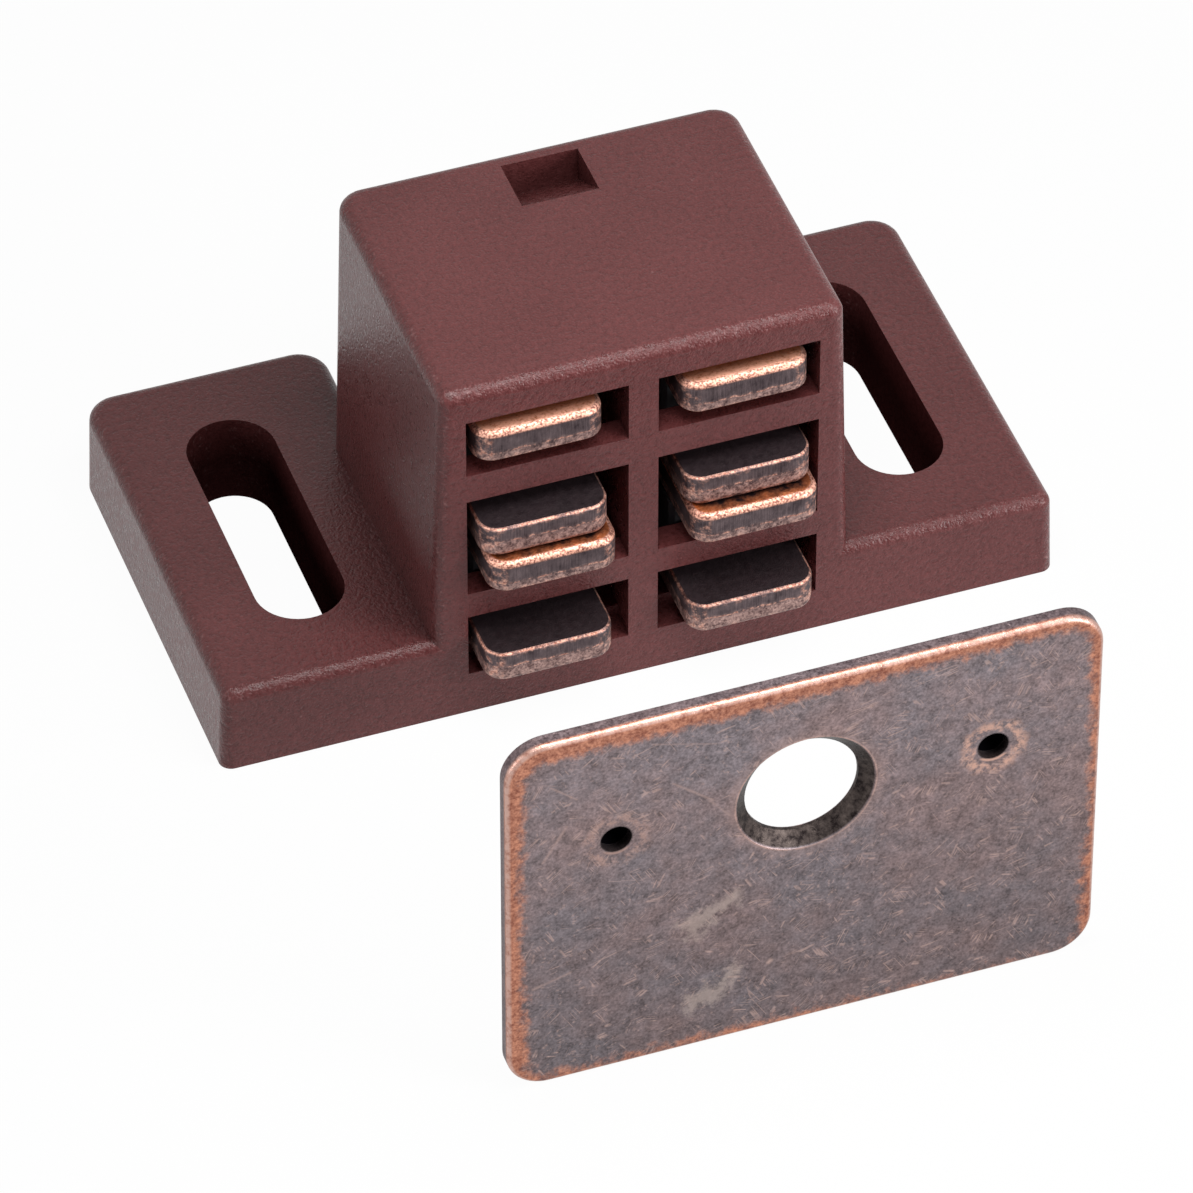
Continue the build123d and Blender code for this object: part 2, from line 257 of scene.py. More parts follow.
# ---- housing and magnets -----------------------------------------------------------------------
def moulded_abs(settings):
    """Brown ABS from a spark-eroded mould: an even satin grain that sparkles where an edge turns to the
    light, smoother and glossier on the edges that hands have rubbed, with painted shade in the slots and
    bays."""
    material, tree = start_material("moulded_abs")
    place, x, y, z = surface_place(tree)
    edge, up = rounded_edges(tree)

    # spark-eroded grain is 0.05 to 0.1 mm; drawn at 0.16 mm and 0.4 mm so that it shows
    fine = add_node(tree, "ShaderNodeTexNoise", {"Vector": place, "Scale": 1 / 0.16, "Detail": 1.0})
    coarse = add_node(tree, "ShaderNodeTexNoise", {"Vector": place, "Scale": 1 / 0.4, "Detail": 2.0})
    cloud = add_node(tree, "ShaderNodeTexNoise", {"Vector": place, "Scale": 1 / 7.0, "Detail": 2.0})
    tone = add_node(tree, "ShaderNodeMath", (fine, 0.50, 0.0), operation="MULTIPLY_ADD")
    tone = add_node(tree, "ShaderNodeMath", (coarse, 0.45, tone), operation="MULTIPLY_ADD")
    tone = add_node(tree, "ShaderNodeMath", (cloud, 0.25, tone), operation="MULTIPLY_ADD")
    tone = add_node(tree, "ShaderNodeMapRange", (tone, 0.44, 0.76, 0.0, 1.0))
    colour = add_node(
        tree, "ShaderNodeMix", {0: tone, 6: linear(settings.plastic_low), 7: linear(settings.plastic_high)},
        **COLOUR_MIX,
    )

    # pale specks and short scuffs from handling, mostly on the edges
    specks = add_node(tree, "ShaderNodeTexVoronoi", {"Vector": place, "Scale": 1 / 3.4, "Randomness": 1.0})
    specks = add_node(tree, "ShaderNodeMapRange", (specks, 0.015, 0.035, 0.45, 0.0))
    rub = add_node(tree, "ShaderNodeTexNoise", {"Vector": place, "Scale": 1 / 0.28, "Detail": 3.0})
    rub = add_node(tree, "ShaderNodeMapRange", (rub, 0.58, 0.72, 0.0, 0.5))
    rub = add_node(tree, "ShaderNodeMath", (rub, edge), operation="MULTIPLY")
    wear = strongest(tree, (specks, rub))
    colour = add_node(
        tree, "ShaderNodeMix", {0: wear, 6: colour, 7: linear(settings.plastic_scuff)}, **COLOUR_MIX,
    )

    # painted shade: the brown is darkened in the recesses, the less open air round a point the darker, most
    # of all on the walls of the screw slots, which have no gloss either and are darkest at the foot
    open_air = add_node(
        tree, "ShaderNodeAmbientOcclusion", {"Distance": 0.007}, output="AO", samples=8, only_local=True,
    )
    painted_shade = add_node(tree, "ShaderNodeMapRange", (open_air, 0.25, 0.95, settings.recess_shade, 1.0))
    upright = add_node(tree, "ShaderNodeMapRange", (up, 0.3, 0.6, 1.0, 0.0))
    slot_wall = add_node(tree, "ShaderNodeMath", (inside_slots(tree, x, y), upright), operation="MULTIPLY")
    slot_shade_by_height = add_node(tree, "ShaderNodeMapRange", (z, *SLOT_SHADE, 0.25, 0.70))
    slot_wall_shade = add_node(tree, "ShaderNodeMix", {0: slot_wall, 2: 1.0, 3: slot_shade_by_height})
    painted_shade = add_node(tree, "ShaderNodeMath", (painted_shade, slot_wall_shade), operation="MULTIPLY")
    colour = add_node(tree, "ShaderNodeVectorMath", {0: colour, "Scale": painted_shade}, operation="SCALE")
    index = add_node(tree, "ShaderNodeMapRange", (slot_wall, 0.0, 1.0, 1.5, 1.02))
    gloss = add_node(tree, "ShaderNodeMapRange", (slot_wall, 0.0, 1.0, 0.28, 0.0))

    height = add_node(tree, "ShaderNodeMath", (coarse, 1.0, fine), operation="MULTIPLY_ADD")
    lift = add_node(tree, "ShaderNodeMapRange", (edge, 0.0, 1.0, 0.62, 0.78))
    bump = add_node(tree, "ShaderNodeBump", {"Strength": lift, "Distance": 0.00008, "Height": height})
    rough = add_node(tree, "ShaderNodeMapRange", (coarse, 0.3, 0.7, 0.25, 0.38))
    polish = add_node(tree, "ShaderNodeMath", (edge, -0.02, rough), operation="MULTIPLY_ADD")
    finish_material(tree, {
        "Base Color": colour, "Roughness": polish, "IOR": index, "Specular IOR Level": gloss, "Normal": bump,
    })
    return material


def sintered_ferrite(settings):
    """Ferrite magnet: pressed and sintered ceramic, ground flat, nearly black, matt and finely pitted."""
    material, tree = start_material("sintered_ferrite")
    place = surface_place(tree)[0]
    grit = add_node(tree, "ShaderNodeTexNoise", {"Vector": place, "Scale": 1 / 0.25, "Detail": 4.0})
    colour = add_node(
        tree, "ShaderNodeMix", {0: grit, 6: linear(settings.ferrite_low), 7: linear(settings.ferrite_high)},
        **COLOUR_MIX,
    )
    bump = add_node(tree, "ShaderNodeBump", {"Strength": 0.4, "Distance": 0.00003, "Height": grit})
    rough = add_node(tree, "ShaderNodeMapRange", (grit, 0.3, 0.7, 0.5, 0.7))
    finish_material(tree, {"Base Color": colour, "Roughness": rough, "Normal": bump})
    return material


# ---- pole plates -------------------------------------------------------------------------------
def pole_side(tree, settings, drop, parting, noises):
    """A pole's sheared side: dark and smooth where the punch cut, paler and rough below the parting, where
    the metal broke. Also gives the thin broken line where one turns to the other."""
    mottle, speckle, patch, marks = noises
    sway = 0.7
    wander = add_node(tree, "ShaderNodeMath", (mottle, sway, drop), operation="MULTIPLY_ADD")
    wander = add_node(tree, "ShaderNodeMath", (wander, parting + sway / 2), operation="SUBTRACT")
    broken = add_node(tree, "ShaderNodeMapRange", (wander, -0.25, 0.30, 0.0, 1.0))
    fracture = soft_line(tree, wander, 0.0, 0.02, 0.09, 0.75)
    fracture_gaps = add_node(tree, "ShaderNodeMapRange", (patch, 0.44, 0.56, 0.0, 1.0))
    fracture = add_node(tree, "ShaderNodeMath", (fracture, fracture_gaps), operation="MULTIPLY")
    cut_tone = add_node(tree, "ShaderNodeMath", (marks, 0.6, mottle), operation="MULTIPLY_ADD")
    cut_tone = add_node(tree, "ShaderNodeMapRange", (cut_tone, 0.55, 1.05, 0.0, 1.0))
    cut = add_node(
        tree, "ShaderNodeMix", {0: cut_tone, 6: linear(settings.cut_low), 7: linear(settings.cut_high)},
        **COLOUR_MIX,
    )
    torn_tone = add_node(tree, "ShaderNodeMath", (speckle, 0.6, patch), operation="MULTIPLY_ADD")
    torn_tone = add_node(tree, "ShaderNodeMapRange", (torn_tone, 0.62, 0.98, 0.0, 1.0))
    torn = add_node(
        tree, "ShaderNodeMix", {0: torn_tone, 6: linear(settings.torn_low), 7: linear(settings.torn_high)},
        **COLOUR_MIX,
    )
    return add_node(tree, "ShaderNodeMix", {0: broken, 6: cut, 7: torn}, **COLOUR_MIX), fracture


def pole_face(tree, settings, pole, inset, behind_mouth, noises):
    """A pole's upper and lower faces: blackened, and on a top plate rubbed back to copper, which is
    brightest at the mouth, with painted shade darkening it towards the bay."""
    mottle, speckle, patch, _ = noises
    black = add_node(
        tree, "ShaderNodeMix", {0: mottle, 6: linear(settings.black_low), 7: linear(settings.black_high)},
        **COLOUR_MIX,
    )
    if "_top_" not in pole:
        return black
    # the upper units' copper is bare for some millimetres behind the edge; on the lower ones, painted shade
    # from the unit above leaves about one millimetre bare and makes their copper a darker, shaded copy
    if "_upper_" in pole:
        bright_from, bare_from, bare_to, high_tone = 0.44, 0.8, 3.2, settings.copper_high
    else:
        bright_from, bare_from, bare_to, high_tone = 0.54, -1.4, -0.1, settings.copper_shaded
    bright = add_node(tree, "ShaderNodeMath", (patch, 0.5, speckle), operation="MULTIPLY_ADD")
    bright = add_node(tree, "ShaderNodeMapRange", (bright, bright_from, bright_from + 0.30, 0.0, 1.0))
    # painted shade: the copper darkens towards the bay
    bay_shade = add_node(tree, "ShaderNodeMapRange", (behind_mouth, 0.45, 1.5, 1.0, 0.15))
    bright = add_node(tree, "ShaderNodeMath", (bright, bay_shade), operation="MULTIPLY")
    copper = add_node(
        tree, "ShaderNodeMix", {0: bright, 6: linear(settings.copper_low), 7: linear(high_tone)},
        **COLOUR_MIX,
    )
    fade = add_node(tree, "ShaderNodeMath", (mottle, -3.0, inset), operation="MULTIPLY_ADD")
    bare = add_node(tree, "ShaderNodeMapRange", (fade, bare_from, bare_to, 1.0, 0.0))
    return add_node(tree, "ShaderNodeMix", {0: bare, 6: black, 7: copper}, **COLOUR_MIX)


def pole_wear(tree, rolled_up, edge, up, near, fracture, noises):
    """1 where a pole's copper is rubbed bare: along its turned edges and the fracture line, in blotches at
    its upright corners, and in crumbs near them. Also gives 1 on flat upper and lower faces."""
    _, speckle, patch, _ = noises
    flat = add_node(tree, "ShaderNodeMapRange", (up, 0.93, 0.99, 0.0, 1.0))
    slope = add_node(tree, "ShaderNodeMapRange", (up, 0.10, 0.30, 0.0, 1.0))
    turned = add_node(tree, "ShaderNodeMath", (slope, flat), operation="SUBTRACT", use_clamp=True)
    corner = add_node(tree, "ShaderNodeMath", (edge, slope), operation="SUBTRACT", use_clamp=True)

    gaps_at = (0.25, 0.40) if rolled_up else (0.40, 0.55)
    gaps = add_node(tree, "ShaderNodeMapRange", (patch, *gaps_at, 0.25, 1.0))
    rubbed = add_node(tree, "ShaderNodeMath", (turned, gaps), operation="MULTIPLY")
    if rolled_up:
        pricks = add_node(tree, "ShaderNodeMapRange", (speckle, 0.36, 0.50, 0.55, 1.0))
        rubbed = add_node(tree, "ShaderNodeMath", (rubbed, pricks), operation="MULTIPLY")
    else:
        # the broken edge is bright along its middle only
        fine_line = soft_line(tree, near, POLE_BROKEN_EDGE / 2, 0.02, 0.07, 1.0, rest=0.12)
        rubbed = add_node(tree, "ShaderNodeMath", (rubbed, fine_line), operation="MULTIPLY")

    crumbs = add_node(tree, "ShaderNodeMath", (patch, -1.6, near), operation="MULTIPLY_ADD")
    crumbs = add_node(tree, "ShaderNodeMapRange", (crumbs, -0.90, -0.50, 0.5, 0.0))
    crumbs = strongest(tree, (crumbs, fracture))
    upright = add_node(tree, "ShaderNodeMath", (1.0, flat), operation="SUBTRACT")
    crumbs = add_node(tree, "ShaderNodeMath", (crumbs, upright), operation="MULTIPLY")
    blotch = add_node(tree, "ShaderNodeMapRange", (patch, 0.48, 0.66, 0.0, 0.65))
    blotch = add_node(tree, "ShaderNodeMath", (blotch, corner), operation="MULTIPLY")
    return strongest(tree, (rubbed, crumbs, blotch)), flat


def antique_copper_pole(settings, pole):
    """Blanked steel plate, copper plated, blackened and tumbled: near black on the flats, rubbed back to
    bright copper on the edge that the punch drew round, with upright shear marks on the front face."""
    material, tree = start_material(f"antique_copper_{pole}")
    place, x, y, z = surface_place(tree)
    low, high = in_millimetres(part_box(pole))
    rolled_up = "_top_" in pole
    edge, up = rounded_edges(tree)
    across = add_node(tree, "ShaderNodeMath", (x, (low[0] + high[0]) / 2), operation="SUBTRACT")
    along = add_node(tree, "ShaderNodeMath", (y, (low[1] + high[1]) / 2), operation="SUBTRACT")
    inset = inset_from_outline(
        tree, across, along, (high[0] - low[0]) / 2, (high[1] - low[1]) / 2, POLE_CORNER,
    )
    behind_mouth = add_node(tree, "ShaderNodeMath", (y, low[1]), operation="SUBTRACT")
    drop = add_node(tree, "ShaderNodeMath", (high[2], z), operation="SUBTRACT")
    from_foot = add_node(tree, "ShaderNodeMath", (high[2] - low[2], drop), operation="SUBTRACT")
    from_top = add_node(tree, "ShaderNodeMath", (drop, 0.0), operation="MAXIMUM")
    near = add_node(tree, "ShaderNodeMath", (from_top, from_foot), operation="MINIMUM")

    mottle, speckle, patch = [
        add_node(
            tree, "ShaderNodeTexNoise",
            {"Vector": place, "Scale": 1 / size, "Detail": detail, "Roughness": grain},
        )
        for size, detail, grain in ((0.9, 5.0, 0.6), (0.16, 2.0, 0.5), (0.45, 4.0, 0.65))
    ]
    # shear marks run upright: 0.1 mm across and a millimetre or more long
    per_mark = (1 / 0.11, 1 / 0.11, 1 / 1.3)
    drawn = add_node(tree, "ShaderNodeVectorMath", (place, per_mark), operation="MULTIPLY")
    marks = add_node(tree, "ShaderNodeTexNoise", {"Vector": drawn, "Scale": 1.0, "Detail": 2.0})
    noises = (mottle, speckle, patch, marks)

    parting = TOP_PARTING if rolled_up else BOTTOM_PARTING
    side, fracture = pole_side(tree, settings, drop, parting, noises)
    face = pole_face(tree, settings, pole, inset, behind_mouth, noises)
    bare_edge, flat = pole_wear(tree, rolled_up, edge, up, near, fracture, noises)
    colour = add_node(tree, "ShaderNodeMix", {0: flat, 6: side, 7: face}, **COLOUR_MIX)
    edge_tone = add_node(tree, "ShaderNodeMapRange", (speckle, 0.36, 0.60, 0.0, 1.0))
    edge_copper = add_node(
        tree, "ShaderNodeMix", {0: edge_tone, 6: linear(settings.edge_low), 7: linear(settings.edge_high)},
        **COLOUR_MIX,
    )
    colour = add_node(tree, "ShaderNodeMix", {0: bare_edge, 6: colour, 7: edge_copper}, **COLOUR_MIX)

    height = add_node(tree, "ShaderNodeMath", (marks, 0.6, speckle), operation="MULTIPLY_ADD")
    bump = add_node(tree, "ShaderNodeBump", {"Strength": 0.55, "Distance": 0.00005, "Height": height})
    rough = add_node(tree, "ShaderNodeMapRange", (patch, 0.3, 0.7, 0.42, 0.60))
    # the black is a sulphide skin, which is hardly metal to the eye; the copper under it is
    skin = add_node(tree, "ShaderNodeMapRange", (flat, 0.0, 1.0, 0.85, 0.80 if rolled_up else 0.25))
    skin = strongest(tree, (skin, bare_edge))
    finish_material(tree, {"Base Color": colour, "Metallic": skin, "Roughness": rough, "Normal": bump})
    return material


# ---- strike plate ------------------------------------------------------------------------------
def strike_patina(tree, settings, z, cloud, mottle, speckle):
    """The strike's grey-brown skin: warm and cool clouds, mottled, and a little paler towards the top,
    with painted shade darkening it towards the foot."""
    warm_cool = add_node(tree, "ShaderNodeMapRange", (cloud, 0.38, 0.62, 0.0, 1.0))
    tint = add_node(
        tree, "ShaderNodeMix",
        {0: warm_cool, 6: linear(settings.patina_warm), 7: linear(settings.patina_cool)}, **COLOUR_MIX,
    )
    tone = add_node(tree, "ShaderNodeMath", (speckle, 0.85, mottle), operation="MULTIPLY_ADD")
    tone = add_node(tree, "ShaderNodeMapRange", (tone, 0.65, 1.20, 0.55, 1.48))
    # painted shade: darker towards the foot, lighter towards the top
    foot_shade = add_node(tree, "ShaderNodeMapRange", (z, 0.0, 26.0, 0.78, 1.10))
    tone = add_node(tree, "ShaderNodeMath", (tone, foot_shade), operation="MULTIPLY")
    return add_node(tree, "ShaderNodeVectorMath", {0: tint, "Scale": tone}, operation="SCALE")


def strike_scratches(tree, place, mottle, front):
    """Fine scratches in all directions, and longer ones on the front, each from its start to its end."""
    fine = [tumbling_scratches(tree, place, *run) for run in STRIKE_TUMBLING]
    scratched = add_node(tree, "ShaderNodeMath", (strongest(tree, fine), 0.48), operation="MULTIPLY")
    for *ends, width, strength in STRIKE_SCRATCHES:
        off_line = line_distance(tree, place, ends[:2], ends[2:])
        off_line = add_node(tree, "ShaderNodeMath", (mottle, width * 2.2, off_line), operation="MULTIPLY_ADD")
        full_to, none_from = width * 1.1, width * 2.3
        mark = add_node(tree, "ShaderNodeMapRange", (off_line, full_to, none_from, strength * 0.75, 0.0))
        mark = add_node(tree, "ShaderNodeMath", (mark, front), operation="MULTIPLY")
        scratched = strongest(tree, (scratched, mark))
    return scratched


def strike_scuffs(tree, place, mottle, front):
    """Dull grey scuffs on the front, with ragged edges."""
    blots = []
    for *ends, reach in STRIKE_SCUFFS:
        away = line_distance(tree, place, ends[:2], ends[2:])
        away = add_node(tree, "ShaderNodeMath", (mottle, -5.0, away), operation="MULTIPLY_ADD")
        blots.append(add_node(tree, "ShaderNodeMapRange", (away, reach - 2.9, reach - 2.0, 0.52, 0.0)))
    return add_node(tree, "ShaderNodeMath", (strongest(tree, blots), front), operation="MULTIPLY")


def strike_band(tree, across, rise, z, inset, mottle, front):
    """The rubbed band inside the strike's outline: about a millimetre wide at the sides and the top,
    narrower to the right and halfway up, and a thin line along the foot."""
    foot = add_node(tree, "ShaderNodeMapRange", (z, 0.4, 2.6, 1.0, 0.0))
    to_right = add_node(tree, "ShaderNodeMapRange", (across, -4.0, 16.0, 0.0, 0.35))
    narrow = add_node(tree, "ShaderNodeMath", (foot, 0.84, to_right), operation="MULTIPLY_ADD")
    half_way = add_node(tree, "ShaderNodeMath", (rise,), operation="ABSOLUTE")
    half_way = add_node(tree, "ShaderNodeMapRange", (half_way, 3.0, 13.0, 0.30, -0.12))
    narrow = add_node(tree, "ShaderNodeMath", (narrow, half_way), operation="ADD")
    ragged = add_node(tree, "ShaderNodeMath", (mottle, -2.6, inset), operation="MULTIPLY_ADD")
    ragged = add_node(tree, "ShaderNodeMath", (ragged, 0.60), operation="ADD")
    ragged = add_node(tree, "ShaderNodeMath", (ragged, narrow), operation="ADD")
    band = add_node(
        tree, "ShaderNodeMapRange", (ragged, 0.0, 0.95, 0.92, 0.0), interpolation_type="SMOOTHSTEP",
    )
    return add_node(tree, "ShaderNodeMath", (band, front), operation="MULTIPLY")


def strike_rim(tree, centre, mottle, front):
    """A broken bare line round the countersink's rim, and a faint halo outside it."""
    rim = soft_line(tree, centre, STRIKE_SINK + 0.05, 0.02, 0.10, 0.70)
    rim_gaps = add_node(tree, "ShaderNodeMapRange", (mottle, 0.35, 0.55, 0.35, 1.0))
    rim = add_node(tree, "ShaderNodeMath", (rim, rim_gaps), operation="MULTIPLY")
    halo = add_node(tree, "ShaderNodeMath", (mottle, -2.4, centre), operation="MULTIPLY_ADD")
    halo = add_node(tree, "ShaderNodeMapRange", (halo, STRIKE_SINK - 1.0, STRIKE_SINK - 0.30, 0.16, 0.0))
    around = add_node(tree, "ShaderNodeMapRange", (centre, STRIKE_SINK - 0.02, STRIKE_SINK + 0.02, 0.0, 1.0))
    halo = add_node(tree, "ShaderNodeMath", (halo, around), operation="MULTIPLY")
    return add_node(tree, "ShaderNodeMath", (strongest(tree, (rim, halo)), front), operation="MULTIPLY")


def spur_mouth(tree, away, z, strength, mottle, ring_blots, front):
    """A ragged ring where the metal drawn in by a spur stood up and rubbed, and a painted highlight on the
    rim of its pit, along the foot."""
    sway = 2.2
    wavy = add_node(tree, "ShaderNodeMath", (mottle, sway, away), operation="MULTIPLY_ADD")
    ring = soft_line(tree, wavy, SPUR_RING + sway / 2, 0.20, 0.62, strength)
    ring = add_node(tree, "ShaderNodeMath", (ring, ring_blots), operation="MULTIPLY", use_clamp=True)
    # painted highlight on the pit's rim, along the foot only
    lip_glint = soft_line(tree, away, SPUR_PIT + 0.14, 0.05, 0.16, strength)
    foot = STRIKE_HOLE_HEIGHT - 1.0
    below = add_node(tree, "ShaderNodeMapRange", (z, foot, foot + 0.2, 1.0, 0.0))
    lip_glint = add_node(tree, "ShaderNodeMath", (lip_glint, below), operation="MULTIPLY")
    return add_node(tree, "ShaderNodeMath", (strongest(tree, (ring, lip_glint)), front), operation="MULTIPLY")


def antique_copper_strike(settings):
    """Blanked steel plate, copper plated, blackened to a grey-brown and tumbled: fine scratches every way,
    a band inside the rim rubbed back to orange copper, bare rings round the hole and the spurs."""
    material, tree = start_material("antique_copper_strike")
    place, x, y, z = surface_place(tree)
    low, high = in_millimetres(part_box("strike_plate"))
    middle = (low[0] + high[0]) / 2
    edge = rounded_edges(tree)[0]
    across = add_node(tree, "ShaderNodeMath", (x, middle), operation="SUBTRACT")
    rise = add_node(tree, "ShaderNodeMath", (z, (low[2] + high[2]) / 2), operation="SUBTRACT")
    inset = inset_from_outline(
        tree, across, rise, (high[0] - low[0]) / 2, (high[2] - low[2]) / 2, STRIKE_CORNER,
    )
    # 1 on the front and its rolled edge, where the deeper wear is, and 0 behind them
    front = add_node(tree, "ShaderNodeMapRange", (y, low[1] + 0.35, low[1] + 0.6, 1.0, 0.0))

    cloud, mottle, crumbs, blotches = [
        add_node(
            tree, "ShaderNodeTexNoise",
            {"Vector": place, "Scale": 1 / size, "Detail": detail, "Roughness": grain},
        )
        for size, detail, grain in ((8.0, 5.0, 0.66), (1.1, 6.0, 0.72), (0.38, 3.0, 0.6), (0.55, 4.0, 0.7))
    ]
    speckle = add_node(tree, "ShaderNodeTexNoise", {"Vector": place, "Scale": 1 / 0.17, "Detail": 2.0})

    # over the patina come scratches, crumbs of bare copper and scuffs, from one layer to the next
    colour = strike_patina(tree, settings, z, cloud, mottle, speckle)
    scratched = strike_scratches(tree, place, mottle, front)
    crumbs = add_node(tree, "ShaderNodeMath", (cloud, 0.3, crumbs), operation="MULTIPLY_ADD")
    crumbs = add_node(tree, "ShaderNodeMapRange", (crumbs, 0.78, 0.90, 0.0, 0.40))
    scuffed = strike_scuffs(tree, place, mottle, front)
    for mask, bare in ((scratched, settings.scratch), (crumbs, settings.scratch), (scuffed, settings.scuff)):
        colour = add_node(tree, "ShaderNodeMix", {0: mask, 6: colour, 7: linear(bare)}, **COLOUR_MIX)

    band = strike_band(tree, across, rise, z, inset, mottle, front)
    band_tone = add_node(tree, "ShaderNodeMath", (blotches, 1.4, speckle), operation="MULTIPLY_ADD")
    band_tone = add_node(tree, "ShaderNodeMapRange", (band_tone, 0.92, 1.50, 0.0, 1.0))
    copper = add_node(
        tree, "ShaderNodeMix", {0: band_tone, 6: linear(settings.band_low), 7: linear(settings.band_high)},
        **COLOUR_MIX,
    )
    colour = add_node(tree, "ShaderNodeMix", {0: band, 6: colour, 7: copper}, **COLOUR_MIX)

    # the countersink, down to just short of the back
    centre = ring_distance(tree, x, z, middle, STRIKE_HOLE_HEIGHT)
    sunk = add_node(tree, "ShaderNodeMapRange", (centre, STRIKE_SINK - 0.12, STRIKE_SINK - 0.02, 1.0, 0.0))
    back = low[1] + STRIKE_THICKNESS
    off_back = add_node(tree, "ShaderNodeMapRange", (y, back - 0.06, back - 0.02, 1.0, 0.0))
    sunk = add_node(tree, "ShaderNodeMath", (sunk, off_back), operation="MULTIPLY")
    blotched = add_node(tree, "ShaderNodeMapRange", (blotches, 0.36, 0.74, 0.0, 1.0))
    sunk_tone = add_node(
        tree, "ShaderNodeMix", {0: blotched, 6: linear(settings.sink_low), 7: linear(settings.sink_high)},
        **COLOUR_MIX,
    )
    colour = add_node(tree, "ShaderNodeMix", {0: sunk, 6: colour, 7: sunk_tone}, **COLOUR_MIX)

    # pale lines: on the rolled front edge, bare metal and a painted highlight where the lamps' line falls; at
    # the countersink's rim, bare metal
    outer_edge = add_node(tree, "ShaderNodeMapRange", (inset, 0.16, 0.32, 0.92, 0.0))
    breaks = add_node(tree, "ShaderNodeMapRange", (blotches, 0.38, 0.55, 0.35, 1.0))
    rolled_edge_glint = edge
    for mask in (front, outer_edge, breaks):
        rolled_edge_glint = add_node(tree, "ShaderNodeMath", (rolled_edge_glint, mask), operation="MULTIPLY")
    lines = strongest(tree, (strike_rim(tree, centre, mottle, front), rolled_edge_glint))
    colour = add_node(tree, "ShaderNodeMix", {0: lines, 6: colour, 7: linear(settings.glint_and_bare)}, **COLOUR_MIX)

    # the sheared outline behind the roll stays dark
    sheared = add_node(tree, "ShaderNodeMath", (1.0, front), operation="SUBTRACT")
    outline = add_node(tree, "ShaderNodeMapRange", (inset, 0.05, 0.15, 0.8, 0.0))
    sheared = add_node(tree, "ShaderNodeMath", (sheared, outline), operation="MULTIPLY")
    sheared_tone = add_node(
        tree, "ShaderNodeMix", {0: band_tone, 6: linear(settings.black_high), 7: linear(settings.cut_high)},
        **COLOUR_MIX,
    )
    colour = add_node(tree, "ShaderNodeMix", {0: sheared, 6: colour, 7: sheared_tone}, **COLOUR_MIX)

    # the spurs' rings, of which the right one is much the brighter, and black painted shade down their pits;
    # the same black also covers the tips of their points, at the back
    ring_blots = add_node(tree, "ShaderNodeMapRange", (blotches, 0.42, 0.60, 0.0, 1.0))
    pits = []
    for sign, strength in ((-1, 0.36), (1, 0.85)):
        away = ring_distance(tree, x, z, middle + sign * SPUR_SPACING / 2, STRIKE_HOLE_HEIGHT)
        pits.append(add_node(tree, "ShaderNodeMapRange", (away, SPUR_PIT - 0.02, SPUR_PIT + 0.12, 1.0, 0.0)))
        ring = spur_mouth(tree, away, z, strength, mottle, ring_blots, front)
        for mask, tone in ((ring, settings.ring), (pits[-1], settings.pit)):
            colour = add_node(tree, "ShaderNodeMix", {0: mask, 6: colour, 7: linear(tone)}, **COLOUR_MIX)
    metal = add_node(tree, "ShaderNodeMath", (1.0, strongest(tree, pits)), operation="SUBTRACT")

    height = add_node(tree, "ShaderNodeMath", (scratched, -1.2, speckle), operation="MULTIPLY_ADD")
    height = add_node(tree, "ShaderNodeMath", (mottle, 1.0, height), operation="MULTIPLY_ADD")
    bump = add_node(tree, "ShaderNodeBump", {"Strength": 0.4, "Distance": 0.00004, "Height": height})
    rough = add_node(tree, "ShaderNodeMapRange", (mottle, 0.3, 0.7, 0.40, 0.56))
    # the roll at the front edge is burnished, so it draws a thin bright line
    rough = add_node(tree, "ShaderNodeMath", (rolled_edge_glint, -0.13, rough), operation="MULTIPLY_ADD")
    gloss = add_node(tree, "ShaderNodeMath", (metal, 0.5), operation="MULTIPLY")
    finish_material(tree, {
        "Base Color": colour, "Metallic": metal, "Roughness": rough, "Specular IOR Level": gloss,
        "Normal": bump,
    })
    return material


# ---- settings ----------------------------------------------------------------------------------
def hex_property(name, text, default):
    """A colour setting, written as an sRGB hex value."""
    return bpy.props.StringProperty(name=name, description=f"{text}, as sRGB hex", default=default, maxlen=7)


